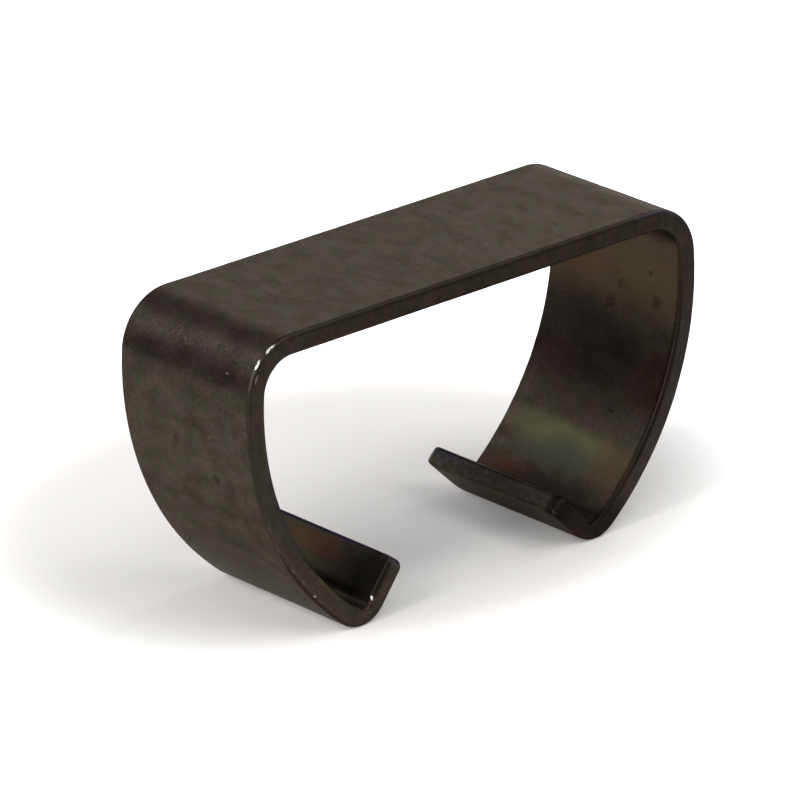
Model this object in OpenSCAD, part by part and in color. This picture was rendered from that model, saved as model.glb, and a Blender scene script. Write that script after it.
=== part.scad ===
// Spring clip folded from one length of hardened steel strip: a flat bar, two bowed
// arms that close in below it, and a short tab turned up inside each foot.

/* [Overall] */
// Overall length, across the widest part of the arms
clip_len = 49.5; // [40:0.5:70]
// Height from the feet to the top of the bar
clip_h = 27.5; // [22:0.5:40]
// Distance between the two lines that the clip stands on
foot_span = 26.2; // [20:0.2:34]

/* [Strip] */
// Width of the strip
strip_w = 16; // [8:0.5:30]
// Thickness of the strip
gauge = 1.8; // [1:0.1:2.4]
// Radius that tumbling left on every edge
edge_r = 0.35; // [0.1:0.05:0.45]

/* [Shoulders] */
// Inside radius of the bends between the bar and the arms
shoulder_r = 3; // [1.5:0.1:5]
// Angle that each of these bends turns through
shoulder_turn = 86; // [75:1:90]

/* [Feet and tabs] */
// Inside radius of the bends at the feet
foot_r = 1.2; // [0.6:0.1:2.5]
// Slope of the left tab above the base
left_tab_rise = 53; // [30:1:70]
// Slope of the right tab above the base, which stands further open
right_tab_rise = 45; // [30:1:70]
// Length of the straight tab past each foot bend
tab_len = 3.8; // [2:0.1:7]
// Corner radius, seen on the flat, where the strip is cut to length
cut_corner_r = 0.8; // [0.5:0.1:2]

/* [Hidden] */
$fn = 96;

// Oil-blackened steel
steel_colour = [0.2, 0.18, 0.15];

// The lengths between the small bends run this far into them, and those bends are drawn
// this much fuller all round, so that the pieces join into one solid
run_in = 0.05;
fuller = 0.004;

// Outside radii of the two small bends, and the place of the right foot's centre, as [x, z]
shoulder_out = shoulder_r + gauge;
foot_out = foot_r + gauge;
foot_centre = [foot_span / 2, foot_out];

// Each arm is one arc of outside radius arm_out. It carries on from the end of its
// shoulder, is widest at half the clip's length, and runs into the outside of its foot, so
// its centre is arm_out - foot_out from the foot's. That gives a quadratic for arm_out.
start_cos = cos(shoulder_turn);
foot_inset = foot_centre.x - clip_len / 2;
foot_drop = foot_centre.y - clip_h + shoulder_out * (1 - start_cos);
linear_part = foot_inset + foot_drop * start_cos + foot_out;
fixed_part = foot_inset ^ 2 + foot_drop ^ 2 - foot_out ^ 2;
arm_out = fixed_part / (sqrt(linear_part ^ 2 - start_cos ^ 2 * fixed_part) - linear_part);
arm_r = arm_out - gauge;

// Centre of the right arm's arc, the end of the flat bar above it, and the arc's own turn
rise_past_shoulder = arm_out - shoulder_out;
arm_centre = [clip_len / 2 - arm_out, clip_h - shoulder_out - rise_past_shoulder * start_cos];
bar_half = arm_centre.x + rise_past_shoulder * sin(shoulder_turn);
to_foot = foot_centre - arm_centre;
arm_turn = 180 - atan2(to_foot.x, -to_foot.y) - shoulder_turn;

// Angle that a foot bend turns through, to leave its tab at the given slope
function foot_turn(tab_rise) = 180 + tab_rise - shoulder_turn - arm_turn;

// Half of the strip's section, from its middle to one rounded edge. The outer face is at
// y = 0, and the strip lies below it.
module half_section(half_w, grow = 0) {
    round_r = edge_r + grow;
    translate([0, -gauge - grow])
        square([half_w - edge_r, gauge + 2 * grow]);
    translate([0, edge_r - gauge])
        square([half_w + grow, gauge - 2 * edge_r]);
    for (y = [-edge_r, edge_r - gauge])
        translate([half_w - edge_r, y])
            circle(round_r);
}

// Whole section of the strip
module section(grow = 0) {
    half_section(strip_w / 2, grow);
    mirror([1, 0])
        half_section(strip_w / 2, grow);
}

// A straight length of strip along x, which runs into its neighbours by the given amounts.
// What follows it is drawn from its far end.
module straight(len, before, after) {
    translate([-before, 0, 0])
        rotate([90, 0, 90])
            linear_extrude(before + len + after)
                section();
    translate([len, 0, 0])
        children();
}

// A bend downwards about an axis along y, which runs into its neighbours by an angle.
// What follows it is drawn from its far end.
module bend(inside_r, turn, extra = 0, grow = 0) {
    outside_r = inside_r + gauge;
    translate([0, 0, -outside_r]) {
        rotate([0, -90, -90])
            rotate([0, 0, -extra])
                rotate_extrude(angle = turn + 2 * extra)
                    translate([outside_r, 0])
                        rotate(-90)
                            section(grow);
        rotate([0, turn, 0])
            translate([0, 0, outside_r])
                children();
    }
}

// The cut end of the strip: a narrower block between two rounded corners
module cut_end() {
    corner_y = strip_w / 2 - cut_corner_r;
    translate([0, corner_y, 0])
        rotate([90, 0, 0])
            linear_extrude(2 * corner_y)
                half_section(cut_corner_r);
    for (side = [0, 1])
        mirror([0, side, 0])
            translate([0, corner_y, 0])
                rotate_extrude(angle = 90)
                    half_section(cut_corner_r);
}

// One arm, from the end of the bar to the cut end of its tab
module arm(tab_rise) {
    bend(shoulder_r, shoulder_turn, grow = fuller)
        bend(arm_r, arm_turn, extra = asin(run_in / arm_out))
            bend(foot_r, foot_turn(tab_rise), grow = fuller)
                straight(tab_len - cut_corner_r, run_in, 0)
                    cut_end();
}

// The whole clip, standing on its feet
module spring_clip() {
    color(steel_colour)
        translate([0, 0, clip_h]) {
            translate([-bar_half, 0, 0])
                straight(2 * bar_half, run_in, run_in)
                    arm(right_tab_rise);
            mirror([1, 0, 0])
                translate([bar_half, 0, 0])
                    arm(left_tab_rise);
        }
}

spring_clip();
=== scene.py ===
"""Looks for a spring clip: one strip of oil-blackened spring steel, folded along its fold line."""

import math

import bpy
from mathutils import Matrix, Vector


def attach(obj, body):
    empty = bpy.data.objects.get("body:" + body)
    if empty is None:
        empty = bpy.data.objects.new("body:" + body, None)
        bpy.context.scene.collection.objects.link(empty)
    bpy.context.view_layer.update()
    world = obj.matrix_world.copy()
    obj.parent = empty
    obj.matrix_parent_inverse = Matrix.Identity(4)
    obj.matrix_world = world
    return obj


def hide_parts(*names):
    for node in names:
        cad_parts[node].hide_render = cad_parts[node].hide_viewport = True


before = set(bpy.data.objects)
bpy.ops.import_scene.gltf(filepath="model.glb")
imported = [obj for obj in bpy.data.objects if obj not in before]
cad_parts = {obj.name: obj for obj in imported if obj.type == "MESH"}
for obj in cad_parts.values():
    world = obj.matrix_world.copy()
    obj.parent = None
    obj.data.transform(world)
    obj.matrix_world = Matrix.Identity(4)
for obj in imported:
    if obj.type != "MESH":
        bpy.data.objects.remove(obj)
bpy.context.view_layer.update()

# ---------------------------------------------------------------- sizes, in millimetres

MM = 0.001

CLIP_LEN = 49.5
CLIP_H = 27.5
FOOT_SPAN = 26.2
STRIP_W = 16.0
GAUGE = 1.8
EDGE_R = 0.35
CUT_CORNER_R = 0.8
SHOULDER_R = 3.0
SHOULDER_TURN = 86.0
FOOT_R = 1.2
TAB_LEN = 3.8
LEFT_TAB_RISE = 53.0
RIGHT_TAB_RISE = 45.0

# The blackening's three tones, its tone at a grazing angle, how metallic and how dull it is, and
# how dull the film of oil on it is
OLIVE = (0.0590, 0.0560, 0.0350, 1)
BROWN = (0.0790, 0.0570, 0.0440, 1)
VIOLET_GREY = (0.0630, 0.0510, 0.0560, 1)
EDGE_TINT = (0.46, 0.43, 0.39, 1)
METALLIC = 0.8
ROUGHNESS = 0.36
FILM_ROUGHNESS = 0.32

# ---------------------------------------------------------------- node trees as expressions


class Value:
    """One output of a node, on which plain arithmetic adds the Math nodes for it."""

    def __init__(self, net, socket):
        self.net = net
        self.socket = socket

    def out(self, name):
        """Another output of the same node."""
        return Value(self.net, self.socket.node.outputs[name])

    def math(self, operation, *others):
        values = dict(enumerate((self, *others)))
        return self.net.node("ShaderNodeMath", {"operation": operation}, values)

    def __add__(self, other):
        return self.math("ADD", other)

    __radd__ = __add__

    def __mul__(self, other):
        return self.math("MULTIPLY", other)

    __rmul__ = __mul__

    def __sub__(self, other):
        return self.math("SUBTRACT", other)

    def __rsub__(self, other):
        return self * -1 + other

    def __truediv__(self, other):
        return self.math("DIVIDE", other)

    def __abs__(self):
        return self.math("ABSOLUTE")

    def sign(self):
        return self.math("SIGN")

    def least(self, other):
        return self.math("MINIMUM", other)

    def most(self, other):
        return self.math("MAXIMUM", other)


class Net:
    """A node tree that is built by calls, each of which returns what its node gives."""

    def __init__(self, tree):
        self.tree = tree

    def node(self, kind, settings=None, values=None, out=0):
        """A node of a kind, with its settings made first and then its sockets filled or linked."""
        made = self.tree.nodes.new(kind)
        for name, setting in (settings or {}).items():
            setattr(made, name, setting)
        for name, value in (values or {}).items():
            if isinstance(value, Value):
                self.tree.links.new(value.socket, made.inputs[name])
            else:
                made.inputs[name].default_value = value
        return Value(self, made.outputs[out]) if made.outputs else None

    def vector_math(self, operation, *vectors, **named):
        settings = {"operation": operation}
        return self.node("ShaderNodeVectorMath", settings, {**dict(enumerate(vectors)), **named})

    def vector(self, x, y, z):
        return self.node("ShaderNodeCombineXYZ", values={"X": x, "Y": y, "Z": z})

    def parts(self, vector):
        split = self.node("ShaderNodeSeparateXYZ", values={0: vector})
        return split, split.out("Y"), split.out("Z")

    def step(self, value, low, high, to_low=0.0, to_high=1.0):
        """Goes smoothly from one value to another while the input goes from low to high."""
        values = {"Value": value, "From Min": low, "From Max": high,
                  "To Min": to_low, "To Max": to_high}
        return self.node("ShaderNodeMapRange", {"interpolation_type": "SMOOTHSTEP"}, values)

    def noise(self, vector, scale, detail, roughness):
        """Noise from 0 to 1, about a half; a greater scale is finer."""
        values = {"Vector": vector, "Scale": scale, "Detail": detail, "Roughness": roughness}
        return self.node("ShaderNodeTexNoise", None, values, "Fac")

    def clouds(self, vector, scale, detail, roughness):
        """Such noise with its own value in each of red, green and blue."""
        values = {"Vector": vector, "Scale": scale, "Detail": detail, "Roughness": roughness}
        return self.node("ShaderNodeTexNoise", None, values, "Color")

    def mix(self, factor, first, second):
        """Goes from one colour to another by a factor."""
        return self.node("ShaderNodeMix", {"data_type": "RGBA"}, {0: factor, 6: first, 7: second}, 2)


def screen(red, green, blue):
    """A colour as it looks on a screen, from 0 to 255, in Blender's linear values."""
    def linear(level):
        share = level / 255
        return share / 12.92 if share <= 0.04045 else ((share + 0.055) / 1.055) ** 2.4
    return (linear(red), linear(green), linear(blue), 1.0)


def emptied_net(owner):
    """The node tree of a material or a world, with its first nodes taken out."""
    owner.use_nodes = True
    owner.node_tree.nodes.clear()
    return Net(owner.node_tree)


def placed(name, data):
    """A new object in the scene with the given data."""
    made = bpy.data.objects.new(name, data)
    bpy.context.scene.collection.objects.link(made)
    return made


# ---------------------------------------------------------------- the fold line

# How far apart the points of the fold line are, at most
LINE_SPACING = 0.1

SHOULDER_OUT = SHOULDER_R + GAUGE
FOOT_OUT = FOOT_R + GAUGE


def arm_arc():
    """Outside radius and turn of the arc that each arm is, and half the flat bar's length.

    The arc carries on from the shoulder, is widest at half the clip's length and runs into the
    outside of the foot, which gives a quadratic for its radius.
    """
    start_cos = math.cos(math.radians(SHOULDER_TURN))
    inset = FOOT_SPAN / 2 - CLIP_LEN / 2
    drop = FOOT_OUT - CLIP_H + SHOULDER_OUT * (1 - start_cos)
    linear_part = inset + drop * start_cos + FOOT_OUT
    fixed_part = inset ** 2 + drop ** 2 - FOOT_OUT ** 2
    radius = fixed_part / (math.sqrt(linear_part ** 2 - start_cos ** 2 * fixed_part) - linear_part)
    past_shoulder = radius - SHOULDER_OUT
    centre_x = CLIP_LEN / 2 - radius
    centre_z = CLIP_H - SHOULDER_OUT - past_shoulder * start_cos
    end_turn = 180 - math.degrees(math.atan2(FOOT_SPAN / 2 - centre_x, centre_z - FOOT_OUT))
    bar_half = centre_x + past_shoulder * math.sin(math.radians(SHOULDER_TURN))
    return radius, end_turn - SHOULDER_TURN, bar_half


ARM_OUT, ARM_TURN, BAR_HALF = arm_arc()


def arc_len(radius, turn):
    return radius * math.radians(turn)


# Distances along the outer face from the middle of the bar
SHOULDER_END = BAR_HALF + arc_len(SHOULDER_OUT, SHOULDER_TURN)
ARM_END = SHOULDER_END + arc_len(ARM_OUT, ARM_TURN)


def foot_turn(tab_rise):
    """Angle that a foot bend turns through, to leave its tab at the given slope."""
    return 180 + tab_rise - SHOULDER_TURN - ARM_TURN


def fold_line(tab_rise):
    """Outer face of one half of the clip, from the bar's middle to the tab's end, as (x, z)."""
    x, z, heading = 0.0, CLIP_H, 0.0
    line = [(x, z)]
    for length, radius, turn in (
        (BAR_HALF, 0, 0),
        (arc_len(SHOULDER_OUT, SHOULDER_TURN), SHOULDER_OUT, SHOULDER_TURN),
        (arc_len(ARM_OUT, ARM_TURN), ARM_OUT, ARM_TURN),
        (arc_len(FOOT_OUT, foot_turn(tab_rise)), FOOT_OUT, foot_turn(tab_rise)),
        (TAB_LEN, 0, 0),
    ):
        count = math.ceil(length / LINE_SPACING)
        start = math.radians(heading)
        for i in range(1, count + 1):
            now = math.radians(heading + turn * i / count)
            if radius:
                line.append((x + radius * (math.sin(now) - math.sin(start)),
                             z + radius * (math.cos(now) - math.cos(start))))
            else:
                step = length * i / count
                line.append((x + step * math.cos(now), z - step * math.sin(now)))
        x, z = line[-1]
        heading += turn
    return line


def fold_curve():
    """The whole fold line as a curve, from the left tab's end to the right's, and its left length."""
    left = [(-x, z) for x, z in fold_line(LEFT_TAB_RISE)]
    line = left[:0:-1] + fold_line(RIGHT_TAB_RISE)
    data = bpy.data.curves.new("fold_line", "CURVE")
    data.dimensions = "3D"
    spline = data.splines.new("POLY")
    spline.points.add(len(line) - 1)
    for point, (x, z) in zip(spline.points, line):
        point.co = (x * MM, 0, z * MM, 1)
    left_len = arc_len(FOOT_OUT, foot_turn(LEFT_TAB_RISE)) + ARM_END + TAB_LEN
    return placed("fold_line", data), left_len


# ---------------------------------------------------------------- the strip, cut flat and folded

# What making and wear did to the strip, none of it in the CAD model, in millimetres. Each foot bend
# is thinned inside by a share, most at one distance along the strip from the bar's middle and not
# at all past a reach from there. The far edge of the outer face is rolled over to a greater radius
# at the right foot, and the right tab stands out at its far side, as if spread or twisted. Both
# come on between two such distances.
FOLD_PLACE = 55.6
FOLD_REACH = 2.2
FOLD_THINNING = 0.22
ROLL_STARTS = (50.0, 53.5)
ROLL_R = 1.2
SPREAD_STARTS = (54.0, 60.0)
SPREAD = 0.42

# How uneven the strip is, and the scale, detail and roughness of the noise that makes its rolled
# faces and its sheared edges so
UNEVENNESS = 0.06
FACE_DENTS = (0.16, 2, 0.5)
EDGE_CHATTER = (0.9, 2, 0.5)

# Points along, across and through the strip, and how many rows of them lie in its rounded ends,
# sides and faces
STATIONS = 640
ACROSS = 42
THROUGH = 13
END_ROWS = 10
SIDE_ROWS = 7
FACE_ROWS = 4

# The least length in metres that the tree divides by
TINY = 1e-7


def crowd(value, half, band, count, rows):
    """Moves evenly spaced points so that the last rows of them lie in a band at each end."""
    share = abs(value) / half
    start = 1 - 2 * rows / (count - 1)
    inner = (share / start).least(1.0) * (half - band)
    outer = ((share - start) / (1 - start)).most(0.0) * band
    return (inner + outer) * value.sign()


def strip_tree():
    """A tree that cuts a flat strip with rounded edges and corners and folds it along a curve."""
    tree = bpy.data.node_groups.new("fold_strip", "GeometryNodeTree")
    face = tree.interface
    face.new_socket("Fold line", in_out="INPUT", socket_type="NodeSocketGeometry")
    for name in ("Width", "Gauge", "Edge radius", "Corner radius", "Left length", "Foot place",
                 "Foot thinning", "Rolled radius", "Spread", "Unevenness"):
        face.new_socket(name, in_out="INPUT", socket_type="NodeSocketFloat")
    face.new_socket("Material", in_out="INPUT", socket_type="NodeSocketMaterial")
    face.new_socket("Strip", in_out="OUTPUT", socket_type="NodeSocketGeometry")
    net = Net(tree)
    given = net.node("NodeGroupInput")
    line, width, gauge = given, given.out("Width"), given.out("Gauge")
    edge_r, corner_r = given.out("Edge radius"), given.out("Corner radius")

    # An even box of points, crowded towards its edges
    length = net.node("GeometryNodeCurveLength", values={0: line})
    size = net.vector(length, width, gauge)
    box = net.node("GeometryNodeMeshCube", values={
        "Size": size, "Vertices X": STATIONS, "Vertices Y": ACROSS, "Vertices Z": THROUGH})
    along, across, through = net.parts(net.node("GeometryNodeInputPosition"))
    along = crowd(along, length / 2, corner_r, STATIONS, END_ROWS)
    across = crowd(across, width / 2, corner_r, ACROSS, SIDE_ROWS)
    through = crowd(through, gauge / 2, edge_r, THROUGH, FACE_ROWS)

    # The square corners drawn in to round ones, and then every edge to its own radius
    core_x, core_y, core_z = length / 2 - corner_r, width / 2 - corner_r, gauge / 2 - edge_r
    out_x, out_y = (abs(along) - core_x).most(0.0), (abs(across) - core_y).most(0.0)
    out_z = (abs(through) - core_z).most(0.0)
    reach = out_x.most(out_y)
    in_band = (reach - corner_r + edge_r).most(0.0)
    pull = edge_r / (in_band * in_band + out_z * out_z).math("SQRT").most(TINY)
    reach_now = reach + in_band * (pull - 1)
    swing = reach_now / (out_x * out_x + out_y * out_y).math("SQRT").most(TINY)
    flat_x = (abs(along).least(core_x) + out_x * swing) * along.sign()
    flat_y = (abs(across).least(core_y) + out_y * swing) * across.sign()
    flat_z = (abs(through).least(core_z) + out_z * pull) * through.sign() - gauge / 2

    # The same places in millimetres: from the bar's middle, from the centre line and in from the
    # outer face. The shaders read them too.
    from_bar = net.vector(flat_x + length / 2 - given.out("Left length"), flat_y, flat_z)
    strip = net.vector_math("SCALE", from_bar, Scale=1 / MM)
    from_middle, _, _ = net.parts(strip)

    # The strip is thinned inside each foot, and rolled over and spread out at the right tab
    from_fold = abs(abs(from_middle) - given.out("Foot place"))
    thinned = net.step(from_fold, FOLD_REACH, 0.0) * given.out("Foot thinning")
    flat_z = flat_z * (1 - thinned)
    roll_r = net.step(from_middle, *ROLL_STARTS, edge_r, given.out("Rolled radius"))
    past_y = (flat_y - width / 2 + roll_r).most(0.0)
    past_z = (flat_z + roll_r).most(0.0)
    over = 1 - (roll_r / (past_y * past_y + past_z * past_z).math("SQRT").most(TINY)).least(1.0)
    flat_y = flat_y - past_y * over
    flat_z = flat_z - past_z * over
    spread = net.step(from_middle, *SPREAD_STARTS) * given.out("Spread")
    flat_y = flat_y + (flat_y / (width / 2)).most(0.0) * spread

    # Rolled faces are never quite flat, nor sheared edges quite straight
    dent = (net.noise(strip, *FACE_DENTS) - 0.5) * given.out("Unevenness")
    chatter = (net.noise(strip, *EDGE_CHATTER) - 0.5) * given.out("Unevenness") * flat_y.sign()
    flat = net.vector(flat_x, flat_y + chatter, flat_z + dent)
    marked = net.node("GeometryNodeStoreNamedAttribute",
                      {"data_type": "FLOAT_VECTOR", "domain": "POINT"},
                      {"Geometry": box, "Name": "strip", "Value": strip})
    blank = net.node("GeometryNodeSetPosition", values={"Geometry": marked, "Position": flat})

    # The fold: each point goes to its own place on the line, and outwards and sideways from there
    x, y, z = net.parts(net.node("GeometryNodeInputPosition"))
    on_line = net.node("GeometryNodeSampleCurve", {"mode": "LENGTH"},
                       {"Curves": line, "Length": x + length / 2}, "Position")
    outward = net.vector_math("CROSS_PRODUCT", on_line.out("Tangent"), (0, 1, 0))
    shift = net.vector_math("SCALE", outward, Scale=z)
    sideways = net.vector(0.0, y, 0.0)
    folded_to = net.vector_math("ADD", net.vector_math("ADD", on_line, shift), sideways)
    folded = net.node("GeometryNodeSetPosition", values={"Geometry": blank, "Position": folded_to})
    smooth = net.node("GeometryNodeSetShadeSmooth", values={"Geometry": folded})
    whole = net.node("GeometryNodeRealizeInstances", values={"Geometry": smooth})
    done = net.node("GeometryNodeSetMaterial", values={
        "Geometry": whole, "Material": given.out("Material")})
    net.node("NodeGroupOutput", values={0: done})
    return tree


def folded_strip(material):
    """The strip as one plain mesh, in the clip's own frame."""
    curve, left_len = fold_curve()
    tree = strip_tree()
    sizes = {"Width": STRIP_W * MM, "Gauge": GAUGE * MM, "Edge radius": EDGE_R * MM,
             "Corner radius": CUT_CORNER_R * MM, "Left length": left_len * MM,
             "Foot place": FOLD_PLACE, "Foot thinning": FOLD_THINNING, "Rolled radius": ROLL_R * MM,
             "Spread": SPREAD * MM, "Unevenness": UNEVENNESS * MM, "Material": material}
    fold = curve.modifiers.new("fold", "NODES")
    fold.node_group = tree
    for item in tree.interface.items_tree:
        if item.in_out == "INPUT" and item.name in sizes:
            fold[item.identifier] = sizes[item.name]
    graph = bpy.context.evaluated_depsgraph_get()
    mesh = bpy.data.meshes.new_from_object(
        curve.evaluated_get(graph), preserve_all_data_layers=True, depsgraph=graph)
    mesh.name = "spring_clip_strip"
    bpy.data.objects.remove(curve)
    return placed("spring_clip_strip", mesh)


# ---------------------------------------------------------------- the steel

# Bare bright nicks in the black: place on the strip, reach along, across and inwards, and how bare
NICKS = (
    ((-22.4, -7.86, -0.02), (0.56, 0.10, 0.12), 1.0),
    ((-24.0, -7.81, -0.03), (0.48, 0.09, 0.12), 1.0),
    ((-25.2, -8.00, -0.35), (0.45, 0.20, 0.07), 0.25),
    ((-25.6, -5.0, 0.0), (0.11, 0.12, 0.2), 0.45),
    ((-38.9, -7.95, -0.10), (0.55, 0.20, 0.08), 0.04),
    ((-41.2, -7.90, -0.05), (0.50, 0.15, 0.08), 0.03),
    ((-43.9, -8.0, -0.20), (0.40, 0.20, 0.09), 0.05),
    ((-45.6, -8.0, -0.32), (0.25, 0.20, 0.10), 0.04),
    ((-47.6, -8.0, -0.28), (0.20, 0.20, 0.10), 0.40),
    ((-48.6, -8.0, -0.25), (0.30, 0.20, 0.08), 0.04),
    ((-50.4, -7.2, 0.0), (0.35, 0.10, 0.15), 0.06),
    ((-57.1, -7.95, -1.68), (0.24, 0.20, 0.15), 0.85),
    ((-55.7, -8.0, -1.10), (0.16, 0.20, 0.10), 0.12),
    ((61.0, -6.2, -0.70), (0.40, 0.14, 0.16), 0.45),
)

# Patches of small light scuff marks on the outer face: the middle of each and its reach. The one
# across the left shoulder is also a painted highlight, the shoulder's sheen.
SCUFFS_AND_SHEEN = (
    ((-16.0, -3.4, 0.0), (1.8, 2.2, 0.5)),
    ((-20.8, -3.0, 0.0), (0.8, 2.4, 0.5)),
    # Painted highlight: the left shoulder's sheen, laid as light scuff marks across the whole width
    ((-23.9, 0.0, 0.0), (1.0, 9.0, 0.5)),
    ((8.0, 2.0, 0.0), (3.5, 2.0, 0.5)),
    ((-46.0, -5.0, 0.0), (3.0, 2.4, 0.5)),
)

# Round dark pits in the faces, as a place on the strip and a radius, and how far inwards they reach
PIT_REACH = 1.0
PITS = (
    ((33.8, 0.1, -1.8), 0.65),
    ((32.4, -5.3, -1.8), 0.60),
    ((31.9, -0.9, -1.8), 0.45),
    ((29.9, -4.4, -1.8), 0.30),
    ((43.4, -3.2, -1.8), 0.30),
    ((24.1, -7.6, -1.8), 0.35),
    ((-35.6, -2.8, 0.0), 0.50),
    ((-33.2, 1.6, 0.0), 0.35),
)

# Temper colours, with painted shade, painted highlights and painted reflections among them, laid in
# order: the middle of each patch on the strip, its reach along, across and inwards, its colour and how
# strong it is. Both shoulders and arms have the first list, the tabs have the second, and the third is
# for edges and cut ends.
ARM_TEMPERS_AND_PAINTED_LIGHT = (
    # Violet bands each side of the shoulders' sheen: partly a violet tint, partly painted dark
    # reflection
    ((22.2, 0.0, 0.0), (1.1, 12, 0.5), (80, 65, 66), 0.55),
    ((25.6, 0.0, 0.0), (1.3, 12, 0.5), (64, 49, 52), 0.60),
    ((30.5, 0.0, -1.8), (5.0, 16, 0.6), (84, 70, 49), 0.70),
    ((30.2, -3.2, -1.8), (2.2, 2.6, 0.6), (80, 79, 50), 0.60),
    ((31.0, 3.4, -1.8), (1.4, 1.8, 0.6), (98, 68, 54), 0.55),
    ((35.8, 3.0, -1.8), (1.6, 4.4, 0.6), (52, 52, 58), 0.45),
    # Painted shade: the inner faces of the arms darkened on their upper halves, under the bar
    ((39.0, 0.0, -1.8), (5.2, 18, 0.6), (48, 41, 36), 0.70),
    ((40.8, 5.2, -1.8), (2.2, 3.0, 0.6), (70, 44, 46), 0.55),
    ((39.8, -6.4, -1.8), (3.6, 2.8, 0.6), (64, 40, 36), 0.55),
    ((43.9, 1.0, -1.8), (1.8, 8.0, 0.6), (72, 61, 55), 0.40),
    # A light yellow-green band low inside the arms: partly a temper tint, partly a painted reflection
    # of the floor
    ((47.2, -0.2, -1.8), (1.7, 7.6, 0.6), (112, 110, 76), 0.80),
    ((48.8, -0.6, -1.8), (2.0, 5.6, 0.6), (76, 80, 68), 0.75),
    ((48.4, -6.2, -1.8), (2.8, 2.4, 0.6), (88, 72, 50), 0.65),
    ((51.4, 4.6, -1.8), (1.4, 3.0, 0.6), (92, 55, 42), 0.70),
    # Painted shade in the inner bend of each foot
    ((52.6, -2.0, -1.8), (2.4, 8.0, 0.6), (42, 36, 33), 0.85),
)
TAB_TEMPERS = (
    # The left one goes from straw through rust to near black, towards its front edge, and the far
    # end of the right one is blue
    ((-59.3, 4.0, -1.8), (2.2, 6.6, 0.6), (82, 82, 60), 0.65),
    ((-59.6, 1.8, -1.8), (1.1, 3.4, 0.6), (98, 74, 54), 0.70),
    ((-59.4, -1.0, -1.8), (1.2, 2.2, 0.6), (90, 53, 42), 0.70),
    ((-58.2, 0.2, -1.8), (0.7, 2.4, 0.6), (66, 72, 47), 0.55),
    ((-58.8, -6.4, -1.8), (3.0, 4.8, 0.6), (25, 21, 17), 0.90),
    ((61.2, 6.4, -1.5), (1.0, 4.8, 1.2), (58, 62, 92), 0.75),
)
EDGE_TEMPERS_AND_PAINTED_LIGHT = (
    # The bar's front edge, its outer rounding darkened as painted shade that dims its highlight, with
    # rust on its inner rounding, and the right arm's inner rounding darkened as painted shade that
    # hides its highlight
    ((0.0, -7.9, -0.05), (26.0, 0.45, 0.35), (42, 36, 31), 0.60),
    ((0.0, -8.0, -0.9), (24.0, 0.5, 1.3), (40, 33, 27), 0.45),
    ((2.0, -7.9, -1.70), (22.0, 0.45, 0.30), (36, 26, 24), 0.60),
    ((-14.0, -7.9, -1.70), (6.0, 0.45, 0.30), (74, 48, 38), 0.50),
    ((42.0, -7.9, -1.70), (17.0, 0.45, 0.35), (26, 22, 18), 0.80),
    # Green-grey on the left arm's front edge, with a brown outer rim and a violet inner one
    ((-37.0, -8.0, -0.9), (7.0, 0.5, 1.2), (56, 58, 50), 0.40),
    ((-45.5, -7.9, -0.20), (8.0, 0.5, 0.40), (80, 63, 57), 0.50),
    ((-49.0, -7.85, 0.0), (7.5, 0.4, 0.28), (38, 31, 27), 0.70),
    ((-38.0, -7.9, -1.65), (6.5, 0.5, 0.25), (62, 60, 80), 0.40),
    # Violet on the right arm's, a dark rust patch at the right foot, and painted shade darkening the
    # front face round the right foot and the right tab's front corner
    ((38.0, -8.0, -0.8), (16.0, 0.5, 0.8), (58, 51, 55), 0.40),
    ((30.0, -8.0, 0.0), (13.0, 0.5, 0.35), (76, 72, 92), 0.55),
    ((55.2, -8.0, -0.9), (5.4, 0.8, 2.0), (27, 23, 20), 0.85),
    ((56.5, -7.6, -0.2), (2.0, 1.6, 0.6), (60, 39, 37), 0.50),
    ((60.6, -7.8, -0.9), (2.0, 1.4, 2.0), (22, 18, 16), 0.95),
    # The cut ends
    ((61.0, 0.0, -0.9), (0.6, 10.0, 1.5), (36, 31, 31), 0.75),
    ((60.7, 1.0, -1.75), (0.45, 9.0, 0.30), (38, 32, 32), 0.80),
    ((61.0, 7.4, -0.3), (0.5, 1.8, 0.8), (74, 72, 46), 0.50),
    ((-61.1, 1.0, -1.75), (0.40, 9.0, 0.35), (54, 50, 92), 0.65),
    # Painted shade: the left tab's front inner rounding darkened so that it shows no highlight line
    ((-59.2, -7.9, -1.70), (2.4, 0.45, 0.35), (32, 29, 25), 0.85),
    # Light lilac on the left tab's front corner: partly a tint, partly a painted highlight
    ((-61.0, -7.4, -0.8), (0.7, 1.0, 1.0), (92, 86, 100), 0.50),
)

# How soft each list's patches are, as the outer and inner shares of their reach
SOFT = (1.35, 0.25)
FIRM = (1.2, 0.6)

# The noise that gives patches uneven edges, as scale, detail and roughness, and how far it moves
# their places: in broad waves, and in small steps
RAGGED = (0.30, 1.5, 0.6), (2.2, 4.0, 0.1)
JAGGED = (2.6, 1.5, 0.6), (0.7, 0.4, 0.2)

# The noises on the steel, as scale, detail and roughness. The mottling and the patches are drawn
# out a little across the strip and the streaks far along it, by factors on their places.
MOTTLING = (0.62, 6, 0.6)
PATCHES = (0.42, 4, 0.65)
MOTTLING_FACTORS = (1.2, 0.75, 1.0)
STREAKS = (1.0, 4, 0.6)
STREAK_FACTORS = (0.3, 2.4, 1.0)
GRAIN = (3.4, 4, 0.7)
MARKS = (2.2, 6, 0.8)
BLOTCHES = (1.1, 4, 0.7)
SPECKS = (5.0, 2, 0.6)
SCRATCHES = (3.6, 3, 0.7)

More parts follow.
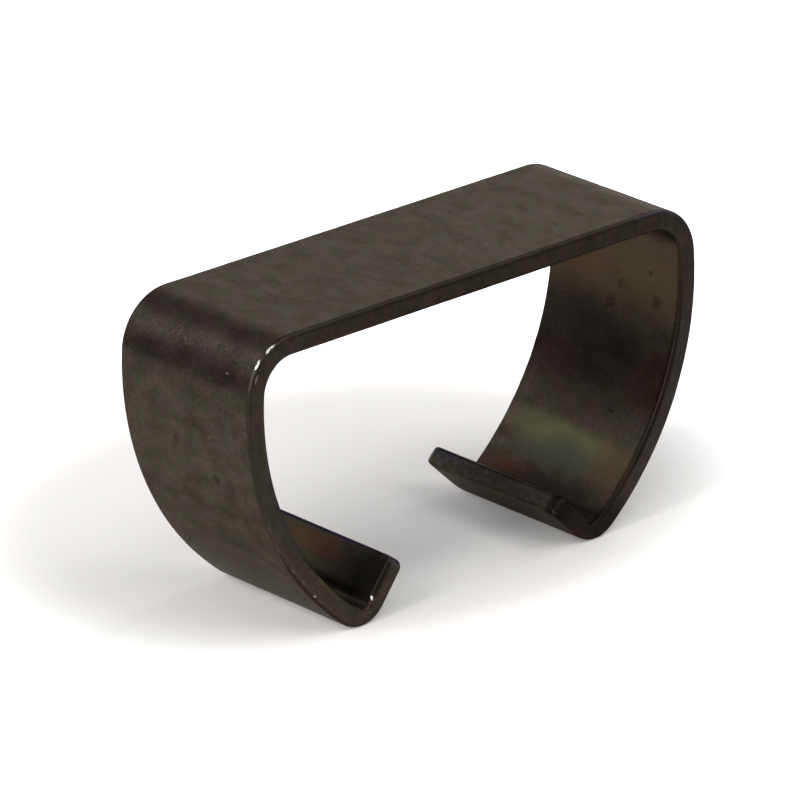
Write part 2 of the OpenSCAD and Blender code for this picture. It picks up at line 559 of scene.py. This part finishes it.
# The levels of noise between which each of these comes on, and how strong it is
BROWN_LEVELS = (0.39, 0.61)
VIOLET_LEVELS, VIOLET_SHARE = (0.50, 0.64), 0.5
DARK_MARK_LEVELS, DARK_MARK_SHARE = (0.45, 0.36), 0.5
LIGHT_MARK_LEVELS, LIGHT_MARK_SHARE = (0.57, 0.65), 0.4
BLOTCH_LEVELS, BLOTCH_SHARE = (0.50, 0.60), 0.35
SPECK_LEVELS, SPECKED_PATCH_LEVELS = (0.66, 0.76), (0.42, 0.58)
SCRATCH_LEVELS, SCUFF_AND_SHEEN_SHARE = (0.55, 0.68), 0.35
PIT_SHARE = 0.5

# Where the sheared edges and the cut ends begin, across and along the strip, and how strong their own
# tone and the painted shade on their rounded corners are
EDGES_FROM = (7.55, 7.85)
ENDS_FROM = (60.7, 60.9)
SHEARED_SHARE = 0.40
CORNER_SHADE_SHARE = 0.4

# Tones as on a screen: sheared edges, their blotches, the painted shade on their corners, pits, scuff
# marks that also paint the left shoulder's sheen, and bare steel
SHEARED = (50, 44, 38)
BLOTCH = (34, 30, 27)
CORNER_SHADE = (40, 35, 32)
PIT = (42, 33, 26)
SCUFF_AND_SHEEN = (140, 132, 128)
BARE = (236, 230, 222)

# How far the noises swing the shade (streaks, grain, patches, flecks), the oil film and the
# roughness (patches, grain) and the bump (grain, streaks, marks)
SHADE_SWINGS = (0.2, 0.9, 1.1, 0.8)
FILM_SWINGS = (0.35, 0.25)
ROUGHNESS_SWINGS = (0.3, 0.2)
BUMP_SWINGS = (0.7, 0.5, 0.6)

# How thick the film is, how much less of it the sheared edges hold and how much duller they are
FILM = 0.08
FILM_LOST = 0.7
SHEARED_DULLER = 0.08

# How deep pits and nicks go in the bump, how strong it is and its height in metres, and the level
# of the steel's own shine
PIT_DEPTH = 0.8
NICK_DEPTH = 0.4
BUMP = 0.4
BUMP_HEIGHT = 0.00004
SPECULAR = 0.35


def spot(net, place, centre, reach, softness=FIRM):
    """1 within the inner share of an ellipsoid about a place on the strip, 0 past the outer share."""
    away = net.vector_math("SUBTRACT", place, centre)
    share = net.vector_math("DIVIDE", away, reach)
    return net.step(net.vector_math("LENGTH", share).out("Value"), *softness)


def varied(middle, noises, swings):
    """A middle value that noises about a half push up and down, each by its own swing."""
    for noise, swing in zip(noises, swings):
        middle = (noise - 0.5) * swing + middle
    return middle


def moved_about(net, place, noise, reach):
    """A place moved by noise, so that what is drawn there has uneven edges."""
    drift = net.vector_math("SUBTRACT", net.clouds(place, *noise), (0.5, 0.5, 0.5))
    return net.vector_math("ADD", place, net.vector_math("MULTIPLY", drift, reach))


def tempers_and_painted_light(net, base, ragged, jagged):
    """Temper colours, with painted shade, highlights and reflections in places, on the inner faces,
    the tabs and the edges, laid over the black.
    """
    along, across, inward = net.parts(ragged)
    either_arm = net.vector(abs(along), across, inward)
    for where, patches, softness in ((either_arm, ARM_TEMPERS_AND_PAINTED_LIGHT, SOFT), (ragged, TAB_TEMPERS, SOFT),
                                     (jagged, EDGE_TEMPERS_AND_PAINTED_LIGHT, FIRM)):
        for centre, reach, colour, strength in patches:
            laid = spot(net, where, centre, reach, softness) * strength
            base = net.mix(laid, base, screen(*colour))
    return base


def blackened_steel():
    """Oil-blackened strip steel: mottled brown and olive, with temper colours inside, bare at its
    nicks, and painted light and shade in places.
    """
    material = bpy.data.materials.new("blackened_steel")
    net = emptied_net(material)
    place = net.node("ShaderNodeAttribute", {"attribute_name": "strip"}, out="Vector")
    ragged = moved_about(net, place, *RAGGED)
    jagged = moved_about(net, place, *JAGGED)
    wide = net.vector_math("MULTIPLY", place, MOTTLING_FACTORS)

    # Olive and brown patches with violet-grey ones between them, streaks along the strip, and a
    # finer grain with dark and light flecks in it
    tan, violet, flecks = net.parts(net.clouds(wide, *MOTTLING))
    base = net.mix(net.step(tan, *BROWN_LEVELS), OLIVE, BROWN)
    base = net.mix(net.step(violet, *VIOLET_LEVELS) * VIOLET_SHARE, base, VIOLET_GREY)
    grain = net.noise(place, *GRAIN)
    marks = net.noise(place, *MARKS)
    streaks = net.noise(net.vector_math("MULTIPLY", place, STREAK_FACTORS), *STREAKS)
    patches = net.noise(wide, *PATCHES)
    shade = varied(1.0, (streaks, grain, patches, flecks), SHADE_SWINGS)
    shade = shade * (1 - net.step(marks, *DARK_MARK_LEVELS) * DARK_MARK_SHARE)
    shade = shade * (1 + net.step(marks, *LIGHT_MARK_LEVELS) * LIGHT_MARK_SHARE)
    base = net.vector_math("SCALE", base, Scale=shade)

    # Sheared edges and cut ends, duller and darker than the rolled faces, with painted shade on their
    # rounded corners to dim the highlights there, and round dark pits
    along, across, inward = net.parts(place)
    sheared = net.step(abs(across), *EDGES_FROM).most(net.step(abs(along), *ENDS_FROM))
    base = net.mix(sheared * SHEARED_SHARE, base, screen(*SHEARED))
    blotches = net.step(net.noise(place, *BLOTCHES), *BLOTCH_LEVELS)
    base = net.mix(sheared * blotches * BLOTCH_SHARE, base, screen(*BLOTCH))
    off_middle = abs(inward + GAUGE / 2)
    # Painted shade: the roundings of the sheared edges are darkened so that they catch less highlight
    shaded_corner = sheared * net.step(off_middle, GAUGE / 2 - EDGE_R, GAUGE / 2 - EDGE_R / 2)
    base = net.mix(shaded_corner * CORNER_SHADE_SHARE, base, screen(*CORNER_SHADE))
    base = tempers_and_painted_light(net, base, ragged, jagged)
    pits = 0.0
    for centre, radius in PITS:
        pits = spot(net, jagged, centre, (radius, radius, PIT_REACH)).most(pits)
    base = net.mix(pits * PIT_SHARE, base, screen(*PIT))

    # Light specks that tumbling left, scuff marks, a painted sheen across the left shoulder, and the
    # bare nicks
    specks = net.step(net.noise(place, *SPECKS), *SPECK_LEVELS)
    specks = specks * net.step(patches, *SPECKED_PATCH_LEVELS)
    scuffed_and_sheen = 0.0
    for centre, reach in SCUFFS_AND_SHEEN:
        scuffed_and_sheen = spot(net, ragged, centre, reach, SOFT).most(scuffed_and_sheen)
    scuffs_and_sheen = net.step(net.noise(place, *SCRATCHES), *SCRATCH_LEVELS) * scuffed_and_sheen
    base = net.mix(specks.most(scuffs_and_sheen) * SCUFF_AND_SHEEN_SHARE, base, screen(*SCUFF_AND_SHEEN))
    bare = 0.0
    for centre, reach, strength in NICKS:
        bare = (spot(net, jagged, centre, reach) * strength).most(bare)
    base = net.mix(bare, base, screen(*BARE))

    film = varied(FILM, (patches, grain), FILM_SWINGS).most(0.0) * (1 - sheared * FILM_LOST)
    rough = varied(ROUGHNESS, (patches, grain), ROUGHNESS_SWINGS) + sheared * SHEARED_DULLER
    height = varied(0.0, (grain, streaks, marks), BUMP_SWINGS) - pits * PIT_DEPTH - bare * NICK_DEPTH
    bump = net.node("ShaderNodeBump", values={
        "Strength": BUMP, "Distance": BUMP_HEIGHT, "Height": height})
    shader = net.node("ShaderNodeBsdfPrincipled", values={
        "Base Color": base, "Metallic": METALLIC, "Roughness": rough, "Specular Tint": EDGE_TINT,
        "Specular IOR Level": SPECULAR, "Coat Weight": film, "Coat Roughness": FILM_ROUGHNESS,
        "Normal": bump})
    net.node("ShaderNodeOutputMaterial", values={"Surface": shader})
    return material


# ---------------------------------------------------------------- the studio

# The camera's direction from the clip, its tilt about its own axis, its distance from the top of
# the bar, and where that point lies off the middle of the view
VIEW_AZIMUTH = -41.53
VIEW_ELEVATION = 21.97
VIEW_ROLL = -0.98
VIEW_DISTANCE = 606.67
VIEW_RIGHT = 0.95
VIEW_UP = 12.57
LENS = 332.5
SENSOR = 36.0

# The nearest and the farthest that the camera sees, in metres
SIGHT = (0.01, 10.0)

# Each softbox: its direction from the clip, as the camera's, its side in metres and its power in
# watts. All are at one distance, in metres.
BOX_DISTANCE = 0.8
SOFTBOXES = (
    ("left", -90, 35, 0.38, 4.3),
    ("front_left_low", -60, 10, 0.38, 2.5),
    ("front", 10, 35, 0.45, 1.2),
    ("top_left", -30, 60, 0.38, 0.8),
    ("top_right", 30, 60, 0.38, 1.3),
    ("front_right_low", 60, 10, 0.38, 0.5),
    ("right", 90, 40, 0.38, 1.5),
    ("back_right", 138, 22, 0.50, 0.70),
    ("back_right_low", 120, 10, 0.38, 0.35),
    ("back", 180, 10, 0.38, 1.0),
    ("back_left", -122, 35, 0.38, 0.25),
    ("far_left", -148, 36, 0.38, 0.28),
)

# Half the side of the floor, in metres
FLOOR_HALF = 3.0

# The white sheet on it that the clip stands on: how many millimetres out it starts to dull and
# where it ends, how white it is at each, how white and how warm it is to the camera, and how much
# it glows there
SHEET_BRIGHT = 40
SHEET_END = 200
SHEET_WHITE = (0.76, 0.1)
SHEET_SHOWN = 0.84
SHEET_WARMTH = (1.0, 0.975, 0.95)
SHEET_GLOW = 0.09

# How bright the white room is where the steel mirrors it
ROOM_MIRRORED = 0.04

# To the camera the sheet turns plain white about an ellipse: its middle, its reach, and the shares
# of that reach between which it turns
WHITE_MIDDLE = (2.0, 12.0, 0.0)
WHITE_REACH = (38.0, 33.0, 1.0)
WHITE_TURN = (0.66, 1.30)


def direction(azimuth, elevation):
    """From the clip towards an azimuth, which is 0 in front and 90 at the right, and an elevation."""
    a, e = math.radians(azimuth), math.radians(elevation)
    return Vector((math.sin(a) * math.cos(e), -math.cos(a) * math.cos(e), math.sin(e)))


def camera():
    """The camera, with the top of the bar at its place in the view."""
    azimuth, roll = math.radians(VIEW_AZIMUTH), math.radians(VIEW_ROLL)
    back = direction(VIEW_AZIMUTH, VIEW_ELEVATION)
    level = Vector((math.cos(azimuth), math.sin(azimuth), 0))
    upright = back.cross(level)
    right = math.cos(roll) * level + math.sin(roll) * upright
    up = math.cos(roll) * upright - math.sin(roll) * level
    place = Vector((0, 0, CLIP_H)) + back * VIEW_DISTANCE - right * VIEW_RIGHT - up * VIEW_UP
    data = bpy.data.cameras.new("camera")
    data.sensor_width = SENSOR
    data.lens = LENS
    data.clip_start, data.clip_end = SIGHT
    turn = Matrix((right, up, back)).transposed().to_4x4()
    made = placed("camera", data)
    made.matrix_world = Matrix.Translation(place * MM) @ turn
    bpy.context.scene.camera = made


def softbox(name, azimuth, elevation, size, power):
    """A square area lamp that looks at the clip."""
    back = direction(azimuth, elevation)
    data = bpy.data.lights.new(name, "AREA")
    data.shape = "SQUARE"
    data.size = size
    data.energy = power
    place = Vector((0, 0, CLIP_H / 2 * MM)) + back * BOX_DISTANCE
    turn = back.to_track_quat("Z", "Y").to_matrix().to_4x4()
    placed(name, data).matrix_world = Matrix.Translation(place) @ turn


def paper_floor():
    """A white sheet under the clip and a dull floor past it, all near white to the camera."""
    material = bpy.data.materials.new("paper_floor")
    net = emptied_net(material)
    seen = net.node("ShaderNodeLightPath", out="Is Camera Ray")
    place = net.node("ShaderNodeTexCoord", out="Object")
    away = net.vector_math("LENGTH", place).out("Value")
    sheet = net.step(away, SHEET_BRIGHT * MM, SHEET_END * MM, *SHEET_WHITE)
    shown = net.vector_math("SCALE", SHEET_WARMTH, Scale=sheet.most(seen * SHEET_SHOWN))
    place_mm = net.vector_math("SCALE", place, Scale=1 / MM)
    share = net.vector_math("DIVIDE", net.vector_math("SUBTRACT", place_mm, WHITE_MIDDLE), WHITE_REACH)
    past = net.step(net.vector_math("LENGTH", share).out("Value"), *WHITE_TURN, SHEET_GLOW, 1.0)
    paper = net.node("ShaderNodeBsdfDiffuse", values={"Color": shown})
    glow = net.node("ShaderNodeEmission", values={"Color": (1, 1, 1, 1), "Strength": seen * past})
    both = net.node("ShaderNodeAddShader", values={0: paper, 1: glow})
    net.node("ShaderNodeOutputMaterial", values={"Surface": both})
    mesh = bpy.data.meshes.new("floor")
    corners = ((-1, -1), (1, -1), (1, 1), (-1, 1))
    mesh.from_pydata([(x * FLOOR_HALF, y * FLOOR_HALF, 0) for x, y in corners], [], [(0, 1, 2, 3)])
    mesh.materials.append(material)
    floor = placed("floor", mesh)


def studio():
    """Softboxes all round at a few heights, in a room white to the camera and dim to the steel."""
    scene = bpy.context.scene
    scene.view_settings.view_transform = "Standard"
    scene.world = bpy.data.worlds.new("studio")
    net = emptied_net(scene.world)
    seen = net.node("ShaderNodeLightPath", out="Is Camera Ray")
    room = seen + seen.out("Is Glossy Ray") * ROOM_MIRRORED
    light = net.node("ShaderNodeBackground", values={"Color": (1, 1, 1, 1), "Strength": room})
    net.node("ShaderNodeOutputWorld", values={"Surface": light})
    paper_floor()
    for box in SOFTBOXES:
        softbox(*box)


camera()
studio()
steel = blackened_steel()
clip = folded_strip(steel)
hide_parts("spring_clip")
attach(clip, "root")
